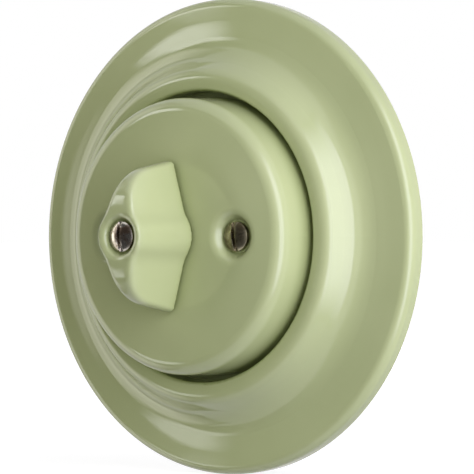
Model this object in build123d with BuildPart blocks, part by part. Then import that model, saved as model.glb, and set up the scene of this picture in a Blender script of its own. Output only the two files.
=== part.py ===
"""Rotary light switch in glazed porcelain, for a round wall box.

The origin is on the shaft's axis in the plane of the wall. The front faces -Y
and +Z is up. Heights are measured from the wall towards the room, depths from
the wall into the box. All sizes are in millimetres.
"""

import os
from math import atan, degrees, radians, sqrt, tan

from build123d import *

os.makedirs("parts", exist_ok=True)

# Clearances
running_gap = 0.05
glue_gap = 0.05
thread_gap = 0.03
contact_gap = 0.05
spring_gap = 0.06
end_play = 0.1
thread_relief = 1.0

# Rosette, the outer porcelain frame
rosette_radius = 50.0
rim_height = 4.0
rim_rounding = 2.0
slope_height = 4.5
slope_bend_share = 0.53
slope_easing_share = 2.5
foot_height = 5.4
foot_rounding = 8.0
flank_width = 4.45
crown_width = 3.6
crown_height = 11.9
crown_rounding = 3.0
crown_fall = 0.45
well_edge_rounding = 0.8
ledge_height = 5.6
ledge_thickness = 2.2
ledge_width = 3.8
back_rim_width = 5.0
back_rim_depth = 1.2
hollow_width = 8.0
back_rounding = 0.4

# Cover, the porcelain cup over the mechanism
cover_radius = 29.2
cover_draft = 0.6
cover_gap = 1.2
cover_height = 20.2
cover_fall = 1.2
cover_flat_share = 0.66
cover_easing = 30.0
cover_shoulder = 3.2
cover_wall = 4.0
cover_top = 3.4
cover_inner_rounding = 3.0
cover_hole_radius = 5.0
cover_hole_rounding = 0.8
cover_edge_rounding = 0.5
cover_screw_offset = 16.4
dish_mouth_radius = 5.0
dish_seat_radius = 3.4
dish_seat_depth = 2.3
dish_rounding = 2.0
boss_radius = 5.0
boss_height = 13.0

# Slotted screws
screw_shank_radius = 1.5
screw_hole_radius = 1.75
cover_screw_head_radius = 3.05
cover_screw_head_height = 1.8
knob_screw_head_radius = 3.1
knob_screw_head_height = 1.8
small_head_radius = 2.6
small_head_height = 1.6
slot_width = 0.9
slot_share = 0.6
dome_share = 0.45
screw_point_share = 0.6
screw_engagement = 8.0

# Knob with two wings
knob_lift = 0.5
knob_height = 16.0
knob_taper = 2.8
hub_radius = 6.5
wing_reach = 15.6
wing_root_half = 5.95
wing_tip_half = 1.5
wing_blend = 8.0
wing_end_taper = 9.0
arch_radius = 34.0
arch_end_rounding = 9.0
knob_edge_rounding = 1.3
recess_mouth_radius = 4.4
recess_seat_radius = 3.3
recess_depth = 2.2
recess_lip = 0.9

# Shaft, insert and rotor
square = 5.0
square_fit = 0.04
journal_radius = 4.0
flange_radius = 5.5
flange_gap = 0.5
flange_back = 0.8
shaft_chamfer = 0.5
shaft_front_gap = 0.5
rear_journal_radius = 2.4
rear_journal_length = 3.3
insert_radius = 4.6
insert_length = 8.8

# Mounting plate and what it carries
plate_radius = 35.5
plate_thickness = 1.2
box_pitch = 60.0
slot_half_width = 2.1
slot_length = 8.0
bearing_thickness = 2.0
bearing_half_width = 11.0
bearing_half_length = 21.5
bearing_corner = 5.0
pillar_radius = 3.0
pillar_spigot_radius = 2.0

# Switch base behind the plate
base_radius = 21.0
well_radius = 14.0
well_depth = 13.5
base_floor = 3.5
pocket_depth = 6.5
rear_plate_thickness = 1.5
rear_plate_radius = 20.0
base_edge_rounding = 0.8
assembly_screw_offset = 17.5
assembly_screw_grip = 8.0
rear_screw_grip = 6.0

# Rotor cam, bridge and contacts
cam_side = 16.0
cam_corner = 1.6
cam_front = 1.0
cam_length = 5.0
disc_radius = 12.5
disc_thickness = 3.0
bridge_thickness = 1.0
bridge_half_width = 3.4
bridge_hub_radius = 5.6
contact_offset = 9.0
contact_radius = 2.2
contact_height = 1.5
rivet_radius = 1.2
rivet_bite = 2.5

# Contact leaves, terminals and springs
leaf_thickness = 0.5
leaf_half_width = 2.5
leaf_top = 3.2
leaf_bend = 2.3
leaf_rivet_margin = 0.35
leaf_rivet_head = 0.7
terminal_inner = 6.0
terminal_outer = 14.0
terminal_bottom = 8.5
terminal_top = 3.0
terminal_thickness = 4.6
terminal_screw_offset = 11.0
wire_hole_radius = 1.3
wire_entry_radius = 1.9
pocket_clearance = 0.25
driver_hole_radius = 2.9
spring_thickness = 0.5
spring_half_length = 14.5
spring_side_gap = 0.3
spring_slot_width = 1.8
spring_hook = 0.8
leaf_end_share = 0.9
terminal_wire_offset = 2.0
terminal_head_radius = 2.3
terminal_head_height = 1.2
terminal_screw_radius = 1.25

# Places that follow from the sizes above
well_wall_radius = cover_radius + cover_gap
ledge_inner_radius = well_wall_radius - ledge_width
crown_radius = well_wall_radius + crown_width
foot_radius = crown_radius + flank_width
slope_width = rosette_radius - foot_radius
cover_face_radius = cover_radius - cover_draft
cover_ceiling = cover_height - cover_fall - cover_top
dish_seat_height = cover_height - dish_seat_depth
knob_base = cover_height + knob_lift
knob_front = knob_base + knob_height
recess_seat_height = knob_front - recess_depth
bearing_front = plate_thickness + bearing_thickness
insert_top = knob_base + insert_length
shaft_top = insert_top - shaft_front_gap
cam_back = cam_front + cam_length
disc_back = cam_back + disc_thickness
bridge_back = disc_back + bridge_thickness
contact_back = bridge_back + contact_height
leaf_front = contact_back + contact_gap
floor_back = well_depth + base_floor
base_depth = floor_back + pocket_depth
wire_depth = floor_back + terminal_wire_offset
leaf_rise = well_depth - leaf_thickness - leaf_front
leaf_foot = leaf_bend + leaf_rise
leaf_rivet_drop = leaf_foot + leaf_rivet_margin + rivet_radius + leaf_rivet_head
leaf_miter = leaf_thickness * tan(radians(22.5))
shaft_tail = well_depth + rear_journal_length
cam_half = cam_side / 2
spring_inner = cam_half + spring_gap
spring_slot_top = spring_inner - spring_side_gap + spring_slot_width
cover_screw_places = ((cover_screw_offset, 0), (-cover_screw_offset, 0))
assembly_places = ((0, assembly_screw_offset), (0, -assembly_screw_offset))

# Half section through the axis: first value is the radius, second the height
section = Plane(origin=(0, 0, 0), x_dir=(1, 0, 0), z_dir=(0, 0, -1))

# Side section through the axis: first value is the way up, second the height
side = Plane(origin=(0, 0, 0), x_dir=(0, 0, 1), z_dir=(1, 0, 0))


def front(height):
    """Plane parallel to the wall at a height, facing the room."""
    return Plane(origin=(0, -height, 0), x_dir=(1, 0, 0), z_dir=(0, -1, 0))


def disc(radius, low, high, mode=Mode.ADD, places=((0, 0),)):
    """Round plates, pins or holes between two heights, in the open part."""
    with BuildSketch(front(low)) as outline:
        with Locations(*places):
            Circle(radius)
    extrude(outline.sketch, amount=high - low, mode=mode)


def block(x_range, z_range, low, high, mode=Mode.ADD):
    """Rectangular block or pocket between two heights, in the open part."""
    with BuildSketch(front(low)) as outline:
        with Locations(((x_range[0] + x_range[1]) / 2, (z_range[0] + z_range[1]) / 2)):
            Rectangle(abs(x_range[1] - x_range[0]), abs(z_range[1] - z_range[0]))
    extrude(outline.sketch, amount=high - low, mode=mode)


def slotted_screw(head_radius, head_height, shank_radius, length):
    """Screw that points into the wall, the underside of its domed head on the wall plane."""
    edge_height = head_height * (1 - dome_share)
    slot_depth = head_height * slot_share
    with BuildPart() as screw:
        with BuildSketch(section):
            with BuildLine():
                Polyline(
                    (0, head_height),
                    (0, -length),
                    (shank_radius * screw_point_share, -length),
                    (shank_radius, shank_radius - length),
                    (shank_radius, 0),
                    (head_radius, 0),
                    (head_radius, edge_height),
                )
                TangentArc((0, head_height), (head_radius, edge_height), tangent=(1, 0))
            make_face()
        revolve(axis=Axis.Y)
        with Locations((0, -head_height, 0)):
            Box(slot_width, 2 * slot_depth, 3 * head_radius, mode=Mode.SUBTRACT)
    return screw.part


# Rosette: one pressed piece, a hollow ring with a rim, a falling slope, a steep
# crown and a well whose ledge carries the cover
with BuildPart() as rosette:
    with BuildSketch(section):
        with BuildLine():
            FilletPolyline(
                (ledge_inner_radius, ledge_height - ledge_thickness),
                (ledge_inner_radius, ledge_height),
                (well_wall_radius, ledge_height),
                (well_wall_radius, crown_height - crown_fall),
                (crown_radius, crown_height),
                (foot_radius, foot_height),
                (foot_radius + slope_bend_share * slope_width, slope_height),
                (rosette_radius, rim_height),
                (rosette_radius, 0),
                (rosette_radius - back_rim_width, 0),
                (rosette_radius - back_rim_width, back_rim_depth),
                (
                    rosette_radius - back_rim_width - hollow_width,
                    ledge_height - ledge_thickness,
                ),
                radius=(
                    0,
                    0,
                    back_rounding,
                    well_edge_rounding,
                    crown_rounding,
                    foot_rounding,
                    slope_easing_share * slope_width,
                    rim_rounding,
                    back_rounding,
                    back_rounding,
                    0,
                    0,
                ),
                close=True,
            )
        make_face()
    revolve(axis=Axis.Y)
rosette.part.label = "rosette"
export_step(rosette.part, "parts/rosette.step")

# Cover: one pressed cup with drafted walls that stands on the rosette's ledge, its face
# flat in the middle and falling to a round shoulder, with a hole for the shaft and two
# dished seats over inner bosses for its screws
with BuildPart() as cover:
    with BuildSketch(section):
        with BuildLine():
            FilletPolyline(
                (cover_hole_radius, cover_ceiling),
                (cover_hole_radius, cover_height),
                (cover_flat_share * cover_radius, cover_height),
                (cover_face_radius, cover_height - cover_fall),
                (cover_radius, ledge_height),
                (cover_radius - cover_wall, ledge_height),
                (cover_face_radius - cover_wall, cover_ceiling),
                radius=(
                    0,
                    cover_hole_rounding,
                    cover_easing,
                    cover_shoulder,
                    cover_edge_rounding,
                    cover_edge_rounding,
                    cover_inner_rounding,
                ),
                close=True,
            )
        make_face()
    revolve(axis=Axis.Y)
    disc(boss_radius, boss_height, cover_ceiling + cover_top / 2, places=cover_screw_places)
    with BuildSketch(front(dish_seat_height)):
        with Locations(*cover_screw_places):
            Circle(dish_seat_radius)
    dish_flare = degrees(atan((dish_mouth_radius - dish_seat_radius) / dish_seat_depth))
    extrude(amount=2 * dish_seat_depth, taper=-dish_flare, mode=Mode.SUBTRACT)
    above_seats = -dish_seat_height - dish_seat_depth / 4
    fillet(edges(Select.LAST).filter_by_position(Axis.Y, -2 * cover_height, above_seats), dish_rounding)
    disc(screw_hole_radius, boss_height, cover_height, Mode.SUBTRACT, cover_screw_places)
cover.part.label = "cover"
export_step(cover.part, "parts/cover.step")

# Cover screws: slotted domed heads that sit in the dishes and reach into the pillars
cover_screw = slotted_screw(
    cover_screw_head_radius,
    cover_screw_head_height,
    screw_shank_radius,
    dish_seat_height - boss_height + screw_engagement,
)
with BuildPart() as cover_screws:
    with Locations(*((x, -dish_seat_height, z) for x, z in cover_screw_places)):
        add(cover_screw)
cover_screws.part.label = "cover_screws"
export_step(cover_screws.part, "parts/cover_screws.step")

# Knob: a round hub that narrows towards the front and two wings that thin towards
# their tips, arched along their length, with a dish for the screw's head
taper_run = knob_height * tan(radians(knob_taper))
wing_slope = (wing_root_half - wing_tip_half) / wing_reach
plan_reach = wing_reach + taper_run
plan_tip_half = wing_tip_half - taper_run * wing_slope
arch_half = wing_reach - knob_height * tan(radians(wing_end_taper))
arch_end_height = knob_front - arch_radius + sqrt(arch_radius**2 - arch_half**2)
with BuildPart() as knob:
    with BuildSketch(front(knob_base)):
        Circle(hub_radius)
        Polygon(
            (wing_root_half, 0),
            (plan_tip_half, plan_reach),
            (-plan_tip_half, plan_reach),
            (-wing_root_half, 0),
            (-plan_tip_half, -plan_reach),
            (plan_tip_half, -plan_reach),
            align=None,
        )
        fillet(vertices().filter_by_position(Axis.Y, -hub_radius, hub_radius), wing_blend)
    extrude(amount=knob_height, taper=knob_taper)
    with BuildSketch(side):
        with BuildLine():
            Polyline(
                (-arch_half, arch_end_height),
                (-wing_reach, knob_base),
                (wing_reach, knob_base),
                (arch_half, arch_end_height),
            )
            ThreePointArc((arch_half, arch_end_height), (0, knob_front), (-arch_half, arch_end_height))
        make_face()
        fillet(vertices().group_by(Axis.Y)[-1], arch_end_rounding)
    extrude(amount=2 * hub_radius, both=True, mode=Mode.INTERSECT)
    arched_faces = faces().filter_by(lambda face: abs(face.normal_at().X) < 0.001)
    outline = arched_faces.edges().filter_by(Axis.X, reverse=True)
    base_edges = faces().sort_by(Axis.Y)[-1].edges()
    fillet(outline.filter_by(lambda edge: edge not in base_edges), knob_edge_rounding)
    with BuildSketch(section):
        with BuildLine():
            FilletPolyline(
                (0, recess_seat_height),
                (recess_seat_radius, recess_seat_height),
                (recess_mouth_radius, knob_front),
                (2 * hub_radius, knob_front),
                (2 * hub_radius, knob_front + recess_depth),
                (0, knob_front + recess_depth),
                radius=(0, 0, recess_lip, 0, 0, 0),
                close=True,
            )
        make_face()
    revolve(axis=Axis.Y, mode=Mode.SUBTRACT)
    disc(insert_radius + glue_gap, knob_base, insert_top, Mode.SUBTRACT)
    disc(screw_hole_radius, insert_top, recess_seat_height, Mode.SUBTRACT)
knob.part.label = "knob"
export_step(knob.part, "parts/knob.step")

# Knob insert: brass bush with a square socket, cemented into the knob
with BuildPart() as knob_insert:
    disc(insert_radius, knob_base, insert_top)
    with BuildSketch(front(knob_base)):
        Rectangle(square + 2 * square_fit, square + 2 * square_fit)
    extrude(amount=insert_length, mode=Mode.SUBTRACT)
knob_insert.part.label = "knob_insert"
export_step(knob_insert.part, "parts/knob_insert.step")

# Knob screw: its domed head sits in the knob's dish, its shank in the shaft's end
with BuildPart() as knob_screw:
    with Locations((0, -recess_seat_height, 0)):
        add(
            slotted_screw(
                knob_screw_head_radius,
                knob_screw_head_height,
                screw_shank_radius,
                recess_seat_height - shaft_top + screw_engagement,
            )
        )
knob_screw.part.label = "knob_screw"
export_step(knob_screw.part, "parts/knob_screw.step")

# Shaft: square at both ends, with a journal in the bearing plate, a flange behind
# it that keeps the shaft in, and a small journal in the base's floor
with BuildPart() as shaft:
    with BuildSketch(front(-well_depth + end_play)):
        Rectangle(square, square)
    extrude(amount=shaft_top + well_depth - end_play)
    chamfer(faces().sort_by(Axis.Y)[0].edges(), shaft_chamfer)
    disc(journal_radius, plate_thickness - end_play, bearing_front + end_play)
    disc(flange_radius, -flange_back, plate_thickness - end_play)
    disc(rear_journal_radius, -shaft_tail, -well_depth + end_play)
    disc(
        screw_shank_radius + thread_gap,
        shaft_top - screw_engagement - thread_relief,
        shaft_top,
        Mode.SUBTRACT,
    )
shaft.part.label = "shaft"
export_step(shaft.part, "parts/shaft.step")

# Mounting plate: blanked steel disc with four slots for the wall box's screws
with BuildPart() as mounting_plate:
    disc(plate_radius, 0, plate_thickness)
    with BuildSketch(Plane.XZ):
        Circle(flange_radius + flange_gap)
        with Locations(*cover_screw_places):
            Circle(pillar_spigot_radius + thread_gap)
        with Locations(*assembly_places):
            Circle(screw_hole_radius)
        with PolarLocations(box_pitch / 2, 4):
            SlotOverall(slot_length, 2 * slot_half_width)
    extrude(amount=plate_thickness, mode=Mode.SUBTRACT)
mounting_plate.part.label = "mounting_plate"
export_step(mounting_plate.part, "parts/mounting_plate.step")

# Bearing plate: punched insulating sheet in which the shaft's journal runs
with BuildPart() as bearing_plate:
    with BuildSketch(front(plate_thickness)):
        RectangleRounded(2 * bearing_half_width, 2 * bearing_half_length, bearing_corner)
        Circle(journal_radius + running_gap, mode=Mode.SUBTRACT)
        with Locations(*assembly_places):
            Circle(screw_hole_radius, mode=Mode.SUBTRACT)
    extrude(amount=bearing_thickness)
bearing_plate.part.label = "bearing_plate"
export_step(bearing_plate.part, "parts/bearing_plate.step")

# Cover pillars: brass, riveted into the mounting plate by a spigot and tapped at
# the front for the cover screws
with BuildPart() as cover_pillars:
    disc(pillar_radius, plate_thickness, boss_height, places=cover_screw_places)
    disc(pillar_spigot_radius, 0, plate_thickness, places=cover_screw_places)
    disc(
        screw_shank_radius + thread_gap,
        boss_height - screw_engagement - thread_relief,
        boss_height,
        Mode.SUBTRACT,
        cover_screw_places,
    )
cover_pillars.part.label = "cover_pillars"
export_step(cover_pillars.part, "parts/cover_pillars.step")

# Assembly screws: hold bearing plate and mounting plate on the base
assembly_screw = slotted_screw(
    small_head_radius,
    small_head_height,
    screw_shank_radius,
    bearing_front + assembly_screw_grip,
)
with BuildPart() as assembly_screws:
    with Locations(*((x, -bearing_front, z) for x, z in assembly_places)):
        add(assembly_screw)
assembly_screws.part.label = "assembly_screws"
export_step(assembly_screws.part, "parts/assembly_screws.step")

# Switch base: moulded cylinder with a round well for the rotor, slots for the ends
# of the springs, and two pockets at the back with wire entries for the terminals
with BuildPart() as switch_base:
    disc(base_radius, -base_depth, 0)
    chamfer(faces().sort_by(Axis.Y)[-1].edges(), base_edge_rounding)
    disc(well_radius, -well_depth, 0, Mode.SUBTRACT)
    disc(rear_journal_radius + running_gap, -shaft_tail - end_play, -well_depth, Mode.SUBTRACT)
    for z_side in (1, -1):
        block(
            (-spring_half_length - spring_side_gap, spring_half_length + spring_side_gap),
            (z_side * (spring_inner - spring_side_gap), z_side * spring_slot_top),
            -cam_back - spring_side_gap,
            0,
            Mode.SUBTRACT,
        )
    disc(
        screw_shank_radius + thread_gap,
        -assembly_screw_grip - thread_relief,
        0,
        Mode.SUBTRACT,
        assembly_places,
    )
    disc(
        screw_shank_radius + thread_gap,
        -base_depth,
        -base_depth + rear_screw_grip + thread_relief,
        Mode.SUBTRACT,
        assembly_places,
    )
    for x_side in (1, -1):
        block(
            (x_side * (terminal_inner - pocket_clearance), x_side * (terminal_outer + pocket_clearance)),
            (-terminal_bottom - pocket_clearance, terminal_top + pocket_clearance),
            -base_depth,
            -floor_back,
            Mode.SUBTRACT,
        )
        disc(
            rivet_radius + thread_gap,
            -floor_back,
            -well_depth,
            Mode.SUBTRACT,
            ((x_side * contact_offset, -leaf_rivet_drop),),
        )
        with Locations(Plane(origin=(0, wire_depth, 0), x_dir=(0, 1, 0), z_dir=(x_side, 0, 0))):
            Cylinder(
                wire_entry_radius,
                base_radius,
                align=(Align.CENTER, Align.CENTER, Align.MIN),
                mode=Mode.SUBTRACT,
            )
switch_base.part.label = "switch_base"
export_step(switch_base.part, "parts/switch_base.step")

# Rear plate: insulating disc with holes for a screwdriver over the terminal screws
terminal_screw_places = ((terminal_screw_offset, 0), (-terminal_screw_offset, 0))
with BuildPart() as rear_plate:
    with BuildSketch(front(-base_depth - rear_plate_thickness)):
        Circle(rear_plate_radius)
        with Locations(*assembly_places):
            Circle(screw_hole_radius, mode=Mode.SUBTRACT)
        with Locations(*terminal_screw_places):
            Circle(driver_hole_radius, mode=Mode.SUBTRACT)
    extrude(amount=rear_plate_thickness)
rear_plate.part.label = "rear_plate"
export_step(rear_plate.part, "parts/rear_plate.step")

# Rear screws: hold the rear plate on the base
rear_screw = slotted_screw(
    small_head_radius,
    small_head_height,
    screw_shank_radius,
    rear_plate_thickness + rear_screw_grip,
)
with BuildPart() as rear_screws:
    with Locations(*((x, base_depth + rear_plate_thickness, z) for x, z in assembly_places)):
        add(rear_screw.rotate(Axis.Z, 180))
rear_screws.part.label = "rear_screws"
export_step(rear_screws.part, "parts/rear_screws.step")

# Rotor cam: moulded square cam that the springs hold in its quarter turns, with an
# insulating disc behind it and a square hole for the shaft
bridge_places = ((0, contact_offset), (0, -contact_offset))
with BuildPart() as rotor_cam:
    with BuildSketch(front(-cam_back)):
        Rectangle(cam_side, cam_side)
        fillet(vertices(), cam_corner)
    extrude(amount=cam_length)
    disc(disc_radius, -disc_back, -cam_back)
    disc(rivet_radius + thread_gap, -disc_back, -disc_back + rivet_bite, Mode.SUBTRACT, bridge_places)
    with BuildSketch(front(-disc_back)):
        Rectangle(square + 2 * square_fit, square + 2 * square_fit)
    extrude(amount=disc_back, mode=Mode.SUBTRACT)
rotor_cam.part.label = "rotor_cam"
export_step(rotor_cam.part, "parts/rotor_cam.step")

# Contact bridge: brass strip across the back of the disc, upright while off
with BuildPart() as contact_bridge:
    with BuildSketch(front(-bridge_back)):
        SlotOverall(2 * (contact_offset + bridge_half_width), 2 * bridge_half_width, rotation=90)
        Circle(bridge_hub_radius)
        Rectangle(square + 2 * square_fit, square + 2 * square_fit, mode=Mode.SUBTRACT)
        with Locations(*bridge_places):
            Circle(rivet_radius + thread_gap, mode=Mode.SUBTRACT)
    extrude(amount=bridge_thickness)
contact_bridge.part.label = "contact_bridge"
export_step(contact_bridge.part, "parts/contact_bridge.step")

# Bridge contacts: silver-faced rivets that fix the bridge to the disc
with BuildPart() as bridge_contacts:
    disc(contact_radius, -contact_back, -bridge_back, places=bridge_places)
    chamfer(faces().group_by(Axis.Y)[-1].edges(), contact_height / 4)
    disc(rivet_radius, -bridge_back, -disc_back + rivet_bite, places=bridge_places)
bridge_contacts.part.label = "bridge_contacts"
export_step(bridge_contacts.part, "parts/bridge_contacts.step")

# Leaf rivets: through the leaves and the base's floor into the terminals
leaf_rivet_places = ((contact_offset, -leaf_rivet_drop), (-contact_offset, -leaf_rivet_drop))
with BuildPart() as leaf_rivets:
    disc(rivet_radius, -floor_back - rivet_bite, -well_depth + leaf_thickness, places=leaf_rivet_places)
    disc(
        rivet_radius + leaf_rivet_head,
        -well_depth + leaf_thickness,
        -well_depth + leaf_thickness + leaf_rivet_head,
        places=leaf_rivet_places,
    )
leaf_rivets.part.label = "leaf_rivets"
export_step(leaf_rivets.part, "parts/leaf_rivets.step")

# Terminal screws: in the backs of the terminals, reached through the rear plate
terminal_back = floor_back + terminal_thickness
terminal_screw = slotted_screw(
    terminal_head_radius,
    terminal_head_height,
    terminal_screw_radius,
    terminal_back - wire_depth - wire_hole_radius,
)
with BuildPart() as terminal_screws:
    with Locations(*((x, terminal_back, z) for x, z in terminal_screw_places)):
        add(terminal_screw.rotate(Axis.Z, 180))
terminal_screws.part.label = "terminal_screws"
export_step(terminal_screws.part, "parts/terminal_screws.step")

for side_name, x_side in (("left", -1), ("right", 1)):
    # Contact leaf: bronze strip riveted flat on the floor, stepped up to the bridge
    leaf_name = f"contact_leaf_{side_name}"
    with BuildPart() as leaf:
        profile_plane = Plane(origin=(x_side * contact_offset, 0, 0), x_dir=(0, 0, 1), z_dir=(1, 0, 0))
        with BuildSketch(profile_plane):
            with BuildLine():
                Polyline(
                    (leaf_top, -leaf_front),
                    (-leaf_bend, -leaf_front),
                    (-leaf_foot, -well_depth + leaf_thickness),
                    (-leaf_rivet_drop - leaf_half_width, -well_depth + leaf_thickness),
                    (-leaf_rivet_drop - leaf_half_width, -well_depth),
                    (-leaf_foot - leaf_miter, -well_depth),
                    (-leaf_bend - leaf_miter, -leaf_front - leaf_thickness),
                    (leaf_top, -leaf_front - leaf_thickness),
                    close=True,
                )
            make_face()
        extrude(amount=leaf_half_width, both=True)
        foot_edges = edges().filter_by(Axis.Y).group_by(Axis.Z)[0]
        fillet(foot_edges, leaf_half_width * leaf_end_share)
        disc(
            rivet_radius + thread_gap,
            -well_depth,
            -well_depth + leaf_thickness,
            Mode.SUBTRACT,
            ((x_side * contact_offset, -leaf_rivet_drop),),
        )
    leaf.part.label = leaf_name
    export_step(leaf.part, f"parts/{leaf_name}.step")

    # Terminal: brass block with a cross hole for the wire and a tapped hole
    terminal_name = f"terminal_{side_name}"
    with BuildPart() as terminal:
        block(
            (x_side * terminal_inner, x_side * terminal_outer),
            (-terminal_bottom, terminal_top),
            -terminal_back,
            -floor_back,
        )
        disc(
            terminal_screw_radius + thread_gap,
            -terminal_back,
            -wire_depth,
            Mode.SUBTRACT,
            ((x_side * terminal_screw_offset, 0),),
        )
        disc(
            rivet_radius + thread_gap,
            -floor_back - rivet_bite,
            -floor_back,
            Mode.SUBTRACT,
            ((x_side * contact_offset, -leaf_rivet_drop),),
        )
        with Locations(Plane(origin=(0, wire_depth, 0), x_dir=(0, 1, 0), z_dir=(1, 0, 0))):
            Cylinder(wire_hole_radius, 4 * terminal_outer, mode=Mode.SUBTRACT)
    terminal.part.label = terminal_name
    export_step(terminal.part, f"parts/{terminal_name}.step")

for side_name, z_side in (("upper", 1), ("lower", -1)):
    # Detent spring: flat steel leaf whose hooked ends sit in the base's slots
    spring_name = f"detent_spring_{side_name}"
    with BuildPart() as spring:
        with BuildSketch(front(-cam_back + spring_side_gap)):
            with BuildLine():
                inner = z_side * spring_inner
                outer = z_side * (spring_inner + spring_thickness)
                hook = z_side * (spring_inner + spring_hook)
                Polyline(
                    (-spring_half_length, inner),
                    (spring_half_length, inner),
                    (spring_half_length, hook),
                    (spring_half_length - spring_thickness, hook),
                    (spring_half_length - spring_thickness, outer),
                    (spring_thickness - spring_half_length, outer),
                    (spring_thickness - spring_half_length, hook),
                    (-spring_half_length, hook),
                    close=True,
                )
            make_face()
        extrude(amount=cam_length - 2 * spring_side_gap)
    spring.part.label = spring_name
    export_step(spring.part, f"parts/{spring_name}.step")
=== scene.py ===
"""Rotary light switch in green glazed porcelain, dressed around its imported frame.

Sizes are in metres. The front faces -Y, +Z is up and the wall is the plane y = 0.
"""

import math

import bpy
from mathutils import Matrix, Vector


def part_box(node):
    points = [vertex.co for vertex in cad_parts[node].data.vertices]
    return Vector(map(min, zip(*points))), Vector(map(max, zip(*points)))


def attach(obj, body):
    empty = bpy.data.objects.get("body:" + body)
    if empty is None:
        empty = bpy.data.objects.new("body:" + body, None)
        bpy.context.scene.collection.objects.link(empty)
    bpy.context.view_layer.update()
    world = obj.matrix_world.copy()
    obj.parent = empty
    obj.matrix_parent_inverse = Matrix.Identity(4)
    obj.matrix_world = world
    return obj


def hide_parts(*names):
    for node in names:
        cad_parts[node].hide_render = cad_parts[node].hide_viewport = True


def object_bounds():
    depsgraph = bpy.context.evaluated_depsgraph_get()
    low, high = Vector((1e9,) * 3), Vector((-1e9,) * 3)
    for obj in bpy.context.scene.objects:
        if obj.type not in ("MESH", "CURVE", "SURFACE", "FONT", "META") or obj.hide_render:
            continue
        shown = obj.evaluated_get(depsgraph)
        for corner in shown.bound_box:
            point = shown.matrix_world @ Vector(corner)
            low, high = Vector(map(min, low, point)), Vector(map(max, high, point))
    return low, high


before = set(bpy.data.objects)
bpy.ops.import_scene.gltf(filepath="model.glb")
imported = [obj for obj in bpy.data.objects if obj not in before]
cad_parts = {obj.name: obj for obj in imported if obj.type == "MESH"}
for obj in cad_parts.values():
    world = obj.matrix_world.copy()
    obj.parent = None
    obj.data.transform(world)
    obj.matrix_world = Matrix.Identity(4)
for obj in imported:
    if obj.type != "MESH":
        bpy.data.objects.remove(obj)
cad_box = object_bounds()
bpy.ops.object.select_all(action="DESELECT")

MM = 0.001


# Switch base and rotor cam: compression moulded from black phenolic powder, dull where the
# filler shows at the surface, with the faint swirls that the powder leaves as it flows.
# The cam turns in the base's well and drives the bridge behind it.
def new_material(name):
    """Node material with a Principled shader: the material, its tree and the shader."""
    material = bpy.data.materials.new(name)
    material.use_nodes = True
    return material, material.node_tree, material.node_tree.nodes["Principled BSDF"]


def new_group(name, inputs, output):
    """Node group with float inputs and one float output, and its inner ends."""
    group = bpy.data.node_groups.new(name, "ShaderNodeTree")
    for socket in inputs:
        group.interface.new_socket(socket, in_out="INPUT", socket_type="NodeSocketFloat")
    group.interface.new_socket(output, in_out="OUTPUT", socket_type="NodeSocketFloat")
    return group, group.nodes.new("NodeGroupInput"), group.nodes.new("NodeGroupOutput")


def add_math(tree, operation, first, second=None):
    """Math node: each operand is a socket or a number."""
    node = tree.nodes.new("ShaderNodeMath")
    node.operation = operation
    for place, operand in enumerate((first, second)):
        if isinstance(operand, bpy.types.NodeSocket):
            tree.links.new(operand, node.inputs[place])
        elif operand is not None:
            node.inputs[place].default_value = operand
    return node.outputs[0]


def make_clouds():
    """Group: soft clouds fixed to the piece, from 0 to 1."""
    group, ends_in, ends_out = new_group("clouds", ("Scale", "Detail", "Distortion"), "Value")
    place = group.nodes.new("ShaderNodeTexCoord")
    noise = group.nodes.new("ShaderNodeTexNoise")
    group.links.new(place.outputs["Object"], noise.inputs["Vector"])
    for socket in ("Scale", "Detail", "Distortion"):
        group.links.new(ends_in.outputs[socket], noise.inputs[socket])
    group.links.new(noise.outputs["Fac"], ends_out.inputs["Value"])
    return group


def add_effect(tree, group, **values):
    """Shared effect placed in a material with its own values."""
    node = tree.nodes.new("ShaderNodeGroup")
    node.node_tree = group
    for name, value in values.items():
        node.inputs[name].default_value = value
    return node.outputs["Value"]


def add_ramp(tree, source, *stops):
    """Colour ramp on a value: stops are (place, colour) pairs."""
    ramp = tree.nodes.new("ShaderNodeValToRGB")
    elements = ramp.color_ramp.elements
    while len(elements) < len(stops):
        elements.new(0.5)
    for element, (place, colour) in zip(elements, stops):
        element.position = place
        element.color = (*colour, 1.0)
    tree.links.new(source, ramp.inputs["Fac"])
    return ramp.outputs["Color"]


def add_range(tree, source, from_low, from_high, to_low, to_high):
    """Value mapped from one range to another, and held inside it."""
    node = tree.nodes.new("ShaderNodeMapRange")
    for name, value in (
        ("From Min", from_low), ("From Max", from_high), ("To Min", to_low), ("To Max", to_high),
    ):
        node.inputs[name].default_value = value
    tree.links.new(source, node.inputs["Value"])
    return node.outputs["Result"]


def add_mix(tree, mask, below, above):
    """Colour below where the mask is 0 and above where it is 1."""
    node = tree.nodes.new("ShaderNodeMix")
    node.data_type = "RGBA"
    tree.links.new(mask, node.inputs[0])
    for socket, colour in ((node.inputs[6], below), (node.inputs[7], above)):
        if isinstance(colour, bpy.types.NodeSocket):
            tree.links.new(colour, socket)
        else:
            socket.default_value = (*colour, 1.0)
    return node.outputs[2]


def add_bump(tree, height, strength, distance, normal=None):
    """Bump from a height, on top of an earlier normal if there is one."""
    bump = tree.nodes.new("ShaderNodeBump")
    bump.inputs["Strength"].default_value = strength
    bump.inputs["Distance"].default_value = distance
    tree.links.new(height, bump.inputs["Height"])
    if normal is not None:
        tree.links.new(normal, bump.inputs["Normal"])
    return bump.outputs["Normal"]


clouds = make_clouds()


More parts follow.
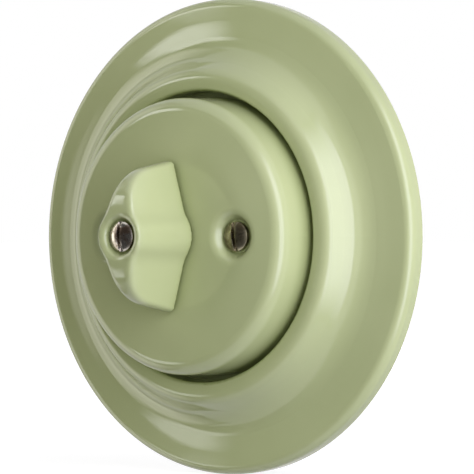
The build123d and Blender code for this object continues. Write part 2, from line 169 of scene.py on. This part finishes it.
def black_moulding():
    material, tree, shader = new_material("black_moulding")
    swirl = add_effect(tree, clouds, Scale=160.0, Detail=5.0, Distortion=2.2)
    filler = add_effect(tree, clouds, Scale=2600.0, Detail=2.0, Distortion=0.0)
    body = add_ramp(tree, swirl, (0.35, (0.017, 0.015, 0.013)), (0.68, (0.036, 0.030, 0.025)))
    fleck = add_range(tree, filler, 0.62, 0.72, 0.0, 0.5)
    tree.links.new(add_mix(tree, fleck, body, (0.085, 0.062, 0.045)), shader.inputs["Base Color"])
    tree.links.new(add_range(tree, swirl, 0.3, 0.7, 0.28, 0.46), shader.inputs["Roughness"])
    tree.links.new(add_bump(tree, filler, 0.25, 0.03 * MM), shader.inputs["Normal"])
    shader.inputs["IOR"].default_value = 1.58
    return material


moulding = black_moulding()
for node in ("switch_base", "rotor_cam"):
    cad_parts[node].data.materials[0] = moulding


# Brass parts: terminals, bridge, leaf rivets, pillars and the knob's insert are cut from
# drawn brass, so fine tool lines run across them. Years in a wall box have dulled them
# to a brown film that is thinner on the corners.
def make_tool_lines():
    """Group: fine lines left by a cutting or drawing tool, across the height."""
    group, ends_in, ends_out = new_group("tool_lines", ("Density", "Stretch"), "Value")
    place = group.nodes.new("ShaderNodeTexCoord")
    scale = group.nodes.new("ShaderNodeCombineXYZ")
    group.links.new(ends_in.outputs["Stretch"], scale.inputs["X"])
    group.links.new(ends_in.outputs["Stretch"], scale.inputs["Y"])
    group.links.new(ends_in.outputs["Density"], scale.inputs["Z"])
    product = group.nodes.new("ShaderNodeVectorMath")
    product.operation = "MULTIPLY"
    group.links.new(place.outputs["Object"], product.inputs[0])
    group.links.new(scale.outputs[0], product.inputs[1])
    noise = group.nodes.new("ShaderNodeTexNoise")
    noise.inputs["Scale"].default_value = 1.0
    noise.inputs["Detail"].default_value = 3.0
    group.links.new(product.outputs[0], noise.inputs["Vector"])
    group.links.new(noise.outputs["Fac"], ends_out.inputs["Value"])
    return group


def make_bare_edges():
    """Group: 1 along the corners of a piece, where handling rubs it bare, else 0."""
    group, ends_in, ends_out = new_group("bare_edges", ("Radius", "Breakup"), "Value")
    bevel = group.nodes.new("ShaderNodeBevel")
    bevel.samples = 4
    group.links.new(ends_in.outputs["Radius"], bevel.inputs["Radius"])
    geometry = group.nodes.new("ShaderNodeNewGeometry")
    agree = group.nodes.new("ShaderNodeVectorMath")
    agree.operation = "DOT_PRODUCT"
    group.links.new(bevel.outputs["Normal"], agree.inputs[0])
    group.links.new(geometry.outputs["Normal"], agree.inputs[1])
    edge = add_range(group, agree.outputs["Value"], 0.995, 0.90, 0.0, 1.0)
    patches = add_effect(group, clouds, Detail=3.0, Distortion=0.0)
    group.links.new(ends_in.outputs["Breakup"], patches.node.inputs["Scale"])
    rubbed = add_range(group, patches, 0.35, 0.60, 0.0, 1.0)
    group.links.new(add_math(group, "MULTIPLY", edge, rubbed), ends_out.inputs["Value"])
    return group


tool_lines = make_tool_lines()
bare_edges = make_bare_edges()


def worked_metal(name, clean, film, spread, roughness, lines):
    """Metal with an uneven film, bare corners and tool lines.

    spread: the cloud values where the film begins and where it is whole; roughness: of the
    clean metal and of the film; lines: density and depth.
    """
    material, tree, shader = new_material(name)
    blotch = add_effect(tree, clouds, Scale=420.0, Detail=6.0, Distortion=0.6)
    covered = add_range(tree, blotch, *spread, 0.0, 1.0)
    worn = add_effect(tree, bare_edges, Radius=0.15 * MM, Breakup=900.0)
    covered = add_math(tree, "MULTIPLY", covered, add_math(tree, "SUBTRACT", 1.0, worn))
    tree.links.new(add_mix(tree, covered, clean, film), shader.inputs["Base Color"])
    tree.links.new(add_range(tree, covered, 0.0, 1.0, *roughness), shader.inputs["Roughness"])
    density, depth = lines
    marks = add_effect(tree, tool_lines, Density=density, Stretch=60.0)
    tree.links.new(add_bump(tree, marks, 0.5, depth), shader.inputs["Normal"])
    shader.inputs["Metallic"].default_value = 1.0
    return material


brass = worked_metal(
    "brass", clean=(0.76, 0.57, 0.27), film=(0.42, 0.28, 0.12), spread=(0.42, 0.72),
    roughness=(0.22, 0.42), lines=(9000.0, 0.01 * MM),
)
for node in (
    "terminal_left", "terminal_right", "contact_bridge",
    "leaf_rivets", "cover_pillars", "knob_insert",
):
    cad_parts[node].data.materials[0] = brass


# Contact leaves and bridge contacts: spring bronze strip, rolled and stamped, carries the
# current to silver-faced rivets, whose faces are matt and a little blackened by arcs.
leaf_bronze = worked_metal(
    "leaf_bronze", clean=(0.70, 0.44, 0.25), film=(0.36, 0.20, 0.11), spread=(0.45, 0.75),
    roughness=(0.20, 0.38), lines=(7000.0, 0.006 * MM),
)
contact_silver = worked_metal(
    "contact_silver", clean=(0.86, 0.85, 0.82), film=(0.22, 0.20, 0.18), spread=(0.50, 0.70),
    roughness=(0.18, 0.45), lines=(9000.0, 0.004 * MM),
)
for side in ("left", "right"):
    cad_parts[f"contact_leaf_{side}"].data.materials[0] = leaf_bronze
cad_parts["bridge_contacts"].data.materials[0] = contact_silver


# Detent springs: two hardened steel strips press on the flats of the cam and give the
# knob its quarter turns. Hardening leaves a grey-blue scale along their faces.
spring_steel = worked_metal(
    "spring_steel", clean=(0.42, 0.42, 0.44), film=(0.13, 0.14, 0.18), spread=(0.35, 0.65),
    roughness=(0.25, 0.40), lines=(12000.0, 0.004 * MM),
)
for side in ("upper", "lower"):
    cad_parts[f"detent_spring_{side}"].data.materials[0] = spring_steel


# Bearing plate and rear plate: punched from brown laminated paper sheet. The faces have
# the gloss of the press and a fine weave, and the fibres show as darker mottling.
def brown_laminate():
    material, tree, shader = new_material("brown_laminate")
    mottle = add_effect(tree, clouds, Scale=700.0, Detail=6.0, Distortion=0.4)
    fibre = add_effect(tree, tool_lines, Density=5200.0, Stretch=900.0)
    body = add_ramp(tree, mottle, (0.32, (0.115, 0.052, 0.022)), (0.70, (0.215, 0.104, 0.045)))
    strand = add_range(tree, fibre, 0.52, 0.70, 0.0, 0.45)
    tree.links.new(add_mix(tree, strand, body, (0.30, 0.165, 0.080)), shader.inputs["Base Color"])
    tree.links.new(add_range(tree, mottle, 0.3, 0.7, 0.32, 0.48), shader.inputs["Roughness"])
    tree.links.new(add_bump(tree, fibre, 0.35, 0.02 * MM), shader.inputs["Normal"])
    shader.inputs["IOR"].default_value = 1.55
    return material


laminate = brown_laminate()
for node in ("bearing_plate", "rear_plate"):
    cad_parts[node].data.materials[0] = laminate


# Shaft and mounting plate: cold rolled steel, zinc plated after punching and turning. The
# plating is grey with pale clouds, and the rolling lines of the sheet show through it.
zinc = worked_metal(
    "zinc_plate", clean=(0.60, 0.61, 0.62), film=(0.36, 0.37, 0.38), spread=(0.36, 0.70),
    roughness=(0.26, 0.44), lines=(5200.0, 0.012 * MM),
)
for node in ("mounting_plate", "shaft"):
    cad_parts[node].data.materials[0] = zinc


# Zinc screws: assembly, rear and terminal screws are cold headed, with a slot sawn across
# the dome, edges that tumbling and plating have rounded, and a thread rolled on the shank.
def select_faces(piece, wanted):
    """In face mode, only the faces whose centre and normal are wanted."""
    bpy.ops.mesh.select_all(action="DESELECT")
    bpy.ops.object.mode_set(mode="OBJECT")
    for face in piece.data.polygons:
        face.select = wanted(face.center, face.normal)
    bpy.ops.object.mode_set(mode="EDIT")


def thread_ridge(major, depth, pitch, run):
    """Rolled thread from y = 0 along +Y: a small triangle wound round the shank."""
    place = (major - depth, 0, 0)
    bpy.ops.mesh.primitive_circle_add(vertices=3, radius=depth, fill_type="NOTHING", location=place)
    ridge = bpy.context.active_object
    bpy.ops.object.mode_set(mode="EDIT")
    bpy.ops.mesh.select_all(action="SELECT")
    bpy.ops.transform.rotate(value=math.radians(90), orient_axis="Z", center_override=place)
    bpy.ops.object.mode_set(mode="OBJECT")
    bpy.ops.object.transform_apply(location=True, rotation=True, scale=True)
    winding = ridge.modifiers.new("winding", "SCREW")
    winding.axis = "Y"
    winding.screw_offset = pitch
    winding.iterations = int(run / pitch)
    winding.steps = winding.render_steps = 24
    winding.use_normal_calculate = True
    bpy.ops.object.modifier_apply(modifier=winding.name)
    bpy.ops.object.mode_set(mode="EDIT")
    bpy.ops.mesh.select_all(action="SELECT")
    bpy.ops.mesh.fill_holes(sides=0)
    bpy.ops.mesh.select_all(action="SELECT")
    bpy.ops.mesh.normals_make_consistent(inside=False)
    bpy.ops.object.mode_set(mode="OBJECT")
    return ridge


def slotted_screw(name, node, body, seat, outward, head, shank, material, slot_turn):
    """Screw along Y. seat: centre under the head; outward: -1 to the room, 1 to the box.

    head is (radius, height, slot width) and shank is (radius, length, pitch).
    """
    head_radius, head_height, slot_width = head
    shank_radius, length, pitch = shank
    rim = 0.5 * head_height
    bpy.ops.mesh.primitive_cylinder_add(
        vertices=64, radius=head_radius, depth=rim, rotation=(math.radians(90), 0, 0),
        location=(0, outward * rim / 2, 0),
    )
    screw = bpy.context.active_object
    screw.name = name
    bpy.ops.object.transform_apply(location=True, rotation=True, scale=True)
    bpy.ops.object.mode_set(mode="EDIT")
    bpy.ops.mesh.select_mode(type="FACE")
    select_faces(screw, lambda centre, normal: normal.y * outward > 0.9)
    dome_rings = 6
    sphere = (head_radius**2 + (head_height - rim) ** 2) / (2 * (head_height - rim))
    lift = 0.0
    for ring in range(1, dome_rings + 1):
        bpy.ops.mesh.inset(thickness=head_radius / (dome_rings + 1))
        radius = head_radius * (1 - ring / (dome_rings + 1))
        height = math.sqrt(sphere**2 - radius**2) - (sphere - (head_height - rim))
        bpy.ops.transform.translate(value=(0, outward * (height - lift), 0))
        lift = height
    select_faces(screw, lambda centre, normal: normal.y * outward < -0.9)
    thread_root = 0.12 * MM
    bpy.ops.mesh.inset(thickness=head_radius - shank_radius + thread_root)
    tip = 0.6 * MM
    tip_taper = 0.6
    for reach, width in ((length - tip, 1.0), (tip, tip_taper)):
        bpy.ops.mesh.extrude_region_move(
            TRANSFORM_OT_translate={"value": (0, -outward * reach, 0)}
        )
        bpy.ops.transform.resize(value=(width, 1.0, width))
    bpy.ops.object.mode_set(mode="OBJECT")

    bpy.ops.mesh.primitive_cube_add(size=1.0, location=(0, outward * head_height, 0))
    saw = bpy.context.active_object
    slot_depth = 0.6 * head_height
    saw.scale = (slot_width, 2 * slot_depth, 3 * head_radius)
    saw.rotation_euler = (0, math.radians(slot_turn), 0)
    bpy.ops.object.transform_apply(location=True, rotation=True, scale=True)
    bpy.ops.object.select_all(action="DESELECT")
    bpy.context.view_layer.objects.active = screw
    screw.select_set(True)
    cut = screw.modifiers.new("slot", "BOOLEAN")
    cut.object = saw
    cut.solver = "EXACT"
    bpy.ops.object.modifier_apply(modifier=cut.name)
    bpy.data.objects.remove(saw)
    worn = screw.modifiers.new("worn_edges", "BEVEL")
    worn.width = 0.07 * MM
    worn.segments = 3
    worn.limit_method = "ANGLE"
    worn.angle_limit = math.radians(32)
    worn.use_clamp_overlap = True
    bpy.ops.object.modifier_apply(modifier=worn.name)

    thread_depth = 0.16 * MM
    ridge = thread_ridge(shank_radius, thread_depth, pitch, length - 2 * tip)
    ridge.location = (0, -outward * tip if outward < 0 else -length + tip, 0)
    bpy.ops.object.select_all(action="DESELECT")
    ridge.select_set(True)
    screw.select_set(True)
    bpy.context.view_layer.objects.active = screw
    bpy.ops.object.join()
    screw.location = seat
    bpy.ops.object.transform_apply(location=True, rotation=False, scale=False)
    bpy.ops.object.shade_smooth_by_angle(angle=math.radians(35))
    bpy.ops.object.select_all(action="DESELECT")
    screw.data.materials.clear()
    screw.data.materials.append(material)
    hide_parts(node)
    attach(screw, body)
    return screw


thread_pitch = 0.5 * MM
small_head = (2.6 * MM, 1.6 * MM, 0.9 * MM)
terminal_head = (2.3 * MM, 1.2 * MM, 0.9 * MM)
for name, node, outward, head, shank_radius in (
    ("assembly_screw", "assembly_screws", -1, small_head, 1.5 * MM),
    ("rear_screw", "rear_screws", 1, small_head, 1.5 * MM),
    ("terminal_screw", "terminal_screws", 1, terminal_head, 1.25 * MM),
):
    low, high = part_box(node)
    crown = low[1] if outward < 0 else high[1]
    seat_y = crown - outward * head[1]
    length = (high[1] - low[1]) - head[1]
    upright = high[2] - low[2] > high[0] - low[0]
    reach = ((high[2] - low[2]) if upright else (high[0] - low[0])) / 2 - head[0]
    for number, sign, turn in ((1, 1, 14.0), (2, -1, -31.0)):
        seat = (0, seat_y, sign * reach) if upright else (sign * reach, seat_y, 0)
        screw = slotted_screw(
            f"{name}_{number}", node, "switch_body", seat, outward, head,
            (shank_radius, length, thread_pitch), zinc, turn,
        )


# Rosette and cover: pressed porcelain, dipped in one pale green glaze and fired. The glaze
# runs thin and light over the edges. Recesses, grooves and the gaps between parts are painted
# darker: partly glaze lying thick, partly painted shade. The rosette's foot, which stood on the
# kiln shelf, is wiped bare and shows the white body.
def make_hollow_shade():
    """Group: from 0 in the open to 1 deep in a hollow, a groove or a narrow gap, also between
    parts. Used to paint shade.
    """
    group, ends_in, ends_out = new_group("hollows", ("Reach",), "Value")
    shade = group.nodes.new("ShaderNodeAmbientOcclusion")
    shade.samples = 6
    group.links.new(ends_in.outputs["Reach"], shade.inputs["Distance"])
    group.links.new(add_math(group, "SUBTRACT", 1.0, shade.outputs["AO"]), ends_out.inputs["Value"])
    return group


def green_glaze():
    material, tree, shader = new_material("green_glaze")
    drift = add_effect(tree, clouds, Scale=38.0, Detail=2.0, Distortion=0.3)
    thin = (0.450, 0.491, 0.246)
    body = add_ramp(tree, drift, (0.30, (0.416, 0.459, 0.222)), (0.70, thin))
    # Painted shade: ambient occlusion darkens the glaze in recesses and in the gaps between parts,
    # round the cover and under the knob. Only part of this is glaze lying thick.
    depth = add_effect(tree, make_hollow_shade(), Reach=3.5 * MM)
    pooled_glaze_and_shade = add_range(tree, depth, 0.12, 0.75, 0.0, 0.85)
    colour = add_mix(tree, pooled_glaze_and_shade, body, (0.275, 0.320, 0.110))
    edges = add_effect(tree, bare_edges, Radius=0.35 * MM, Breakup=160.0)
    colour = add_mix(tree, add_math(tree, "MULTIPLY", edges, 0.35), colour, (0.56, 0.60, 0.37))
    place = tree.nodes.new("ShaderNodeTexCoord")
    split = tree.nodes.new("ShaderNodeSeparateXYZ")
    tree.links.new(place.outputs["Object"], split.inputs[0])
    foot = add_range(tree, split.outputs["Y"], -0.30 * MM, -0.15 * MM, 0.0, 1.0)
    colour = add_mix(tree, foot, colour, (0.72, 0.70, 0.64))
    tree.links.new(colour, shader.inputs["Base Color"])
    smears = add_effect(tree, clouds, Scale=90.0, Detail=4.0, Distortion=0.8)
    gloss = add_range(tree, smears, 0.35, 0.75, 0.015, 0.05)
    tree.links.new(add_math(tree, "MAXIMUM", gloss, foot), shader.inputs["Roughness"])
    peel = add_effect(tree, clouds, Scale=300.0, Detail=1.0, Distortion=0.0)
    sag = add_effect(tree, clouds, Scale=70.0, Detail=0.0, Distortion=0.0)
    normal = add_bump(tree, sag, 0.12, 0.6 * MM)
    tree.links.new(add_bump(tree, peel, 0.10, 0.06 * MM, normal), shader.inputs["Normal"])
    shader.inputs["IOR"].default_value = 1.52
    return material


glaze = green_glaze()
for node in ("rosette", "cover"):
    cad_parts[node].data.materials[0] = glaze


# Knob: the same glaze over a pressed piece whose front edges were sponged round by hand. A
# wide shallow hollow was turned into its front, round the deeper seat of the screw.
knob_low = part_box("knob")[0]
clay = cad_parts["knob"].copy()
clay.data = clay.data.copy()
clay.name = "knob_sponged"
bpy.context.collection.objects.link(clay)
bpy.context.view_layer.objects.active = clay
clay.select_set(True)
bpy.ops.object.mode_set(mode="EDIT")
bpy.ops.mesh.select_all(action="SELECT")
bpy.ops.mesh.remove_doubles(threshold=0.002 * MM)
bpy.ops.object.mode_set(mode="OBJECT")
hollow_radius = 14.6 * MM
hollow_depth = 1.2 * MM
bpy.ops.mesh.primitive_uv_sphere_add(
    segments=192, ring_count=96, radius=hollow_radius,
    location=(0, knob_low[1] + hollow_depth - hollow_radius, 0),
)
ball = bpy.context.active_object
bpy.ops.object.transform_apply(location=True, rotation=True, scale=True)
bpy.ops.object.select_all(action="DESELECT")
bpy.context.view_layer.objects.active = clay
clay.select_set(True)
hollow = clay.modifiers.new("hollow", "BOOLEAN")
hollow.operation = "DIFFERENCE"
hollow.object = ball
hollow.solver = "EXACT"
bpy.ops.object.modifier_apply(modifier=hollow.name)
bpy.data.objects.remove(ball)
grain = 0.28 * MM
even = clay.modifiers.new("even_mesh", "REMESH")
even.mode = "VOXEL"
even.voxel_size = grain
bpy.ops.object.modifier_apply(modifier=even.name)
sponged = clay.vertex_groups.new(name="sponged")
sponge_depth = 9 * MM
sponge_fade = 3 * MM
guard_radius = 5.2 * MM
guard_fade = 1.5 * MM
for vertex in clay.data.vertices:
    depth = vertex.co.y - knob_low[1]
    from_axis = math.hypot(vertex.co.x, vertex.co.z)
    share = min(1.0, max(0.0, (sponge_depth - depth) / sponge_fade))
    share *= min(1.0, max(0.0, (from_axis - guard_radius) / guard_fade))
    sponged.add([vertex.index], share, "REPLACE")
for name, group, turns in (("sponge", "sponged", 20), ("glaze_film", "", 6)):
    soften = clay.modifiers.new(name, "SMOOTH")
    soften.factor = 0.5
    soften.iterations = turns
    soften.vertex_group = group
    bpy.ops.object.modifier_apply(modifier=soften.name)
bpy.ops.object.shade_smooth()
bpy.ops.object.select_all(action="DESELECT")
clay.data.materials.clear()
clay.data.materials.append(glaze)
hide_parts("knob")
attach(clay, "rotor")


# Cover screws and knob screw: turned brass, nickel plated long ago. The knob screw's plating
# has gone brown in blotches and is bright where it is rubbed. The cover screws get a darker,
# browner copy of the same metal, with more of the film.
aged_nickel = worked_metal(
    "aged_nickel", clean=(0.62, 0.58, 0.52), film=(0.17, 0.12, 0.085), spread=(0.40, 0.62),
    roughness=(0.16, 0.34), lines=(4000.0, 0.01 * MM),
)
# Darker, browner copy of the nickel for the two cover screws.
dark_brown_nickel = worked_metal(
    "dark_brown_nickel", clean=(0.42, 0.38, 0.27), film=(0.12, 0.10, 0.06), spread=(0.32, 0.60),
    roughness=(0.22, 0.40), lines=(4000.0, 0.01 * MM),
)
cover_screw_head = (3.05 * MM, 1.8 * MM, 0.9 * MM)
knob_screw_head = (3.1 * MM, 1.8 * MM, 0.9 * MM)
shank_radius = 1.5 * MM
for node, body, head, turns, metal in (
    ("cover_screws", "switch_body", cover_screw_head, (-7.0, 20.0), dark_brown_nickel),
    ("knob_screw", "rotor", knob_screw_head, (-4.0,), aged_nickel),
):
    low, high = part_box(node)
    reach = (high[0] - low[0]) / 2 - head[0]
    for number, (sign, turn) in enumerate(zip((1, -1), turns), start=1):
        screw = slotted_screw(
            f"{node[:-1]}_{number}" if len(turns) > 1 else "knob_screw_turned",
            node, body, (sign * reach, low[1] + head[1], 0), -1, head,
            (shank_radius, high[1] - low[1] - head[1], thread_pitch), metal, turn,
        )


# Studio: a white floor and white surroundings, tall soft boxes on the right and left, small
# ones high and low on the left, weak fills, and a dark card behind the camera, so that metal
# has a dark side. The camera is level with the shaft, to the right of the front.
floor_height = cad_box[0][2] - 0.1 * MM
floor_size = 40.0


def backdrop_white():
    """White for camera, mirror and glass rays, with a shadow only near the switch."""
    material, tree, shader = new_material("backdrop_white")
    place = tree.nodes.new("ShaderNodeTexCoord")
    away = tree.nodes.new("ShaderNodeVectorMath")
    away.operation = "LENGTH"
    tree.links.new(place.outputs["Object"], away.inputs[0])
    glow = add_range(tree, away.outputs["Value"], 0.06, 0.30, 0.86, 1.0)
    light = tree.nodes.new("ShaderNodeEmission")
    tree.links.new(glow, light.inputs["Strength"])
    matt = tree.nodes.new("ShaderNodeBsdfDiffuse")
    matt.inputs["Color"].default_value = (0.40, 0.40, 0.40, 1.0)
    both = tree.nodes.new("ShaderNodeAddShader")
    tree.links.new(light.outputs[0], both.inputs[0])
    tree.links.new(matt.outputs[0], both.inputs[1])
    shader.inputs["Base Color"].default_value = (0.85, 0.85, 0.85, 1.0)
    shader.inputs["Roughness"].default_value = 1.0
    path = tree.nodes.new("ShaderNodeLightPath")
    direct = add_math(tree, "MAXIMUM", path.outputs["Is Camera Ray"], path.outputs["Is Glossy Ray"])
    direct = add_math(tree, "MAXIMUM", direct, path.outputs["Is Transmission Ray"])
    mix = tree.nodes.new("ShaderNodeMixShader")
    tree.links.new(direct, mix.inputs["Fac"])
    tree.links.new(shader.outputs[0], mix.inputs[1])
    tree.links.new(both.outputs[0], mix.inputs[2])
    tree.links.new(mix.outputs[0], tree.nodes["Material Output"].inputs["Surface"])
    return material


bpy.ops.mesh.primitive_plane_add(size=floor_size, location=(0, 0, floor_height))
floor = bpy.context.active_object
floor.name = "floor"
floor.data.materials.append(backdrop_white())
floor.visible_shadow = False
floor.visible_glossy = False
floor.visible_diffuse = False

world = bpy.data.worlds.new("studio")
bpy.context.scene.world = world
world.use_nodes = True
sky = world.node_tree.nodes["Background"]
path = world.node_tree.nodes.new("ShaderNodeLightPath")
fill = 0.10
shown = add_math(
    world.node_tree, "MAXIMUM", path.outputs["Is Camera Ray"], path.outputs["Is Glossy Ray"]
)
shown = add_math(world.node_tree, "MAXIMUM", shown, path.outputs["Is Transmission Ray"])
world.node_tree.links.new(
    add_range(world.node_tree, shown, 0.0, 1.0, fill, 1.0), sky.inputs["Strength"]
)
sky.inputs["Color"].default_value = (1.0, 1.0, 1.0, 1.0)


def direction(azimuth, elevation=0.0):
    """Unit vector from the switch to a place round it: azimuth 0 is in front, 90 to the right."""
    turn, rise = math.radians(azimuth), math.radians(elevation)
    level = math.cos(rise)
    return Vector((math.sin(turn) * level, -math.cos(turn) * level, math.sin(rise)))


def studio_panel(
    name, place, distance, size, radiance, fades=(0.0, 0.0), tint=(1.0, 1.0, 1.0)
):
    """Panel that faces the switch and glows. size: width, height; fades: share of the width
    and of the height, at each edge, over which the glow falls to nothing."""
    bpy.ops.mesh.primitive_plane_add(size=1.0)
    panel = bpy.context.active_object
    panel.name = name
    panel.scale = (*size, 1.0)
    panel.location = direction(*place) * distance
    panel.rotation_euler = (-panel.location).to_track_quat("Z", "Y").to_euler()
    material, tree, shader = new_material(name)
    shader.inputs["Base Color"].default_value = (0.0, 0.0, 0.0, 1.0)
    shader.inputs["Specular IOR Level"].default_value = 0.0
    shader.inputs["Emission Color"].default_value = (*tint, 1.0)
    shader.inputs["Emission Strength"].default_value = radiance
    uv = tree.nodes.new("ShaderNodeTexCoord")
    split = tree.nodes.new("ShaderNodeSeparateXYZ")
    tree.links.new(uv.outputs["UV"], split.inputs[0])
    glow = None
    for axis, fade in zip(("X", "Y"), fades):
        if fade:
            off_centre = add_math(tree, "SUBTRACT", split.outputs[axis], 0.5)
            off_centre = add_math(tree, "ABSOLUTE", off_centre)
            edge = add_range(tree, off_centre, 0.5 - fade, 0.5, 1.0, 0.0)
            glow = add_math(tree, "MULTIPLY", edge, radiance if glow is None else glow)
            tree.links.new(glow, shader.inputs["Emission Strength"])
    panel.data.materials.append(material)
    panel.visible_camera = False
    return panel


daylight = (0.98, 0.985, 1.15)
studio_panel("right_soft_box", (64, 9), 0.36, (0.206, 1.0), 4.35, (0.03, 0.3), daylight)
back_right = studio_panel(
    "back_right_soft_box", (100, 8), 0.55, (0.34, 1.4), 1.7, (0.0, 0.2), daylight
)
front_fill = studio_panel("front_fill", (32, 10), 0.80, (0.5, 0.5), 1.3)
left_fill = studio_panel("left_fill", (-72, 0), 0.80, (0.5, 0.8), 0.6)
for panel in (back_right, front_fill, left_fill):
    panel.visible_glossy = False
warm = (1.02, 1.0, 0.92)
studio_panel("left_soft_box", (-74, 0), 0.60, (0.39, 1.4), 2.1, (0.2, 0.2), warm)
studio_panel("upper_left_soft_box", (-48, 23), 0.50, (0.15, 0.125), 4.6, (0.25, 0.15))
studio_panel("lower_left_soft_box", (-48, -23), 0.50, (0.15, 0.12), 3.0, (0.25, 0.15))
dark_room = studio_panel("dark_card", (-18, 0), 0.90, (1.75, 1.8), 0.06)
dark_room.visible_diffuse = False
dark_room.visible_shadow = False

camera_azimuth = 39.6
camera_distance = 0.70
aim_right = 0.97 * MM
aim_drop = 0.1 * MM
lens = bpy.data.cameras.new("camera")
lens.lens = 252.0
lens.sensor_width = 36.0
camera = bpy.data.objects.new("camera", lens)
bpy.context.collection.objects.link(camera)
aim = direction(camera_azimuth + 90) * aim_right - Vector((0, 0, aim_drop))
camera.location = aim + direction(camera_azimuth) * camera_distance
camera.rotation_euler = (aim - camera.location).to_track_quat("-Z", "Y").to_euler()
bpy.context.scene.camera = camera
bpy.context.scene.view_settings.view_transform = "Standard"
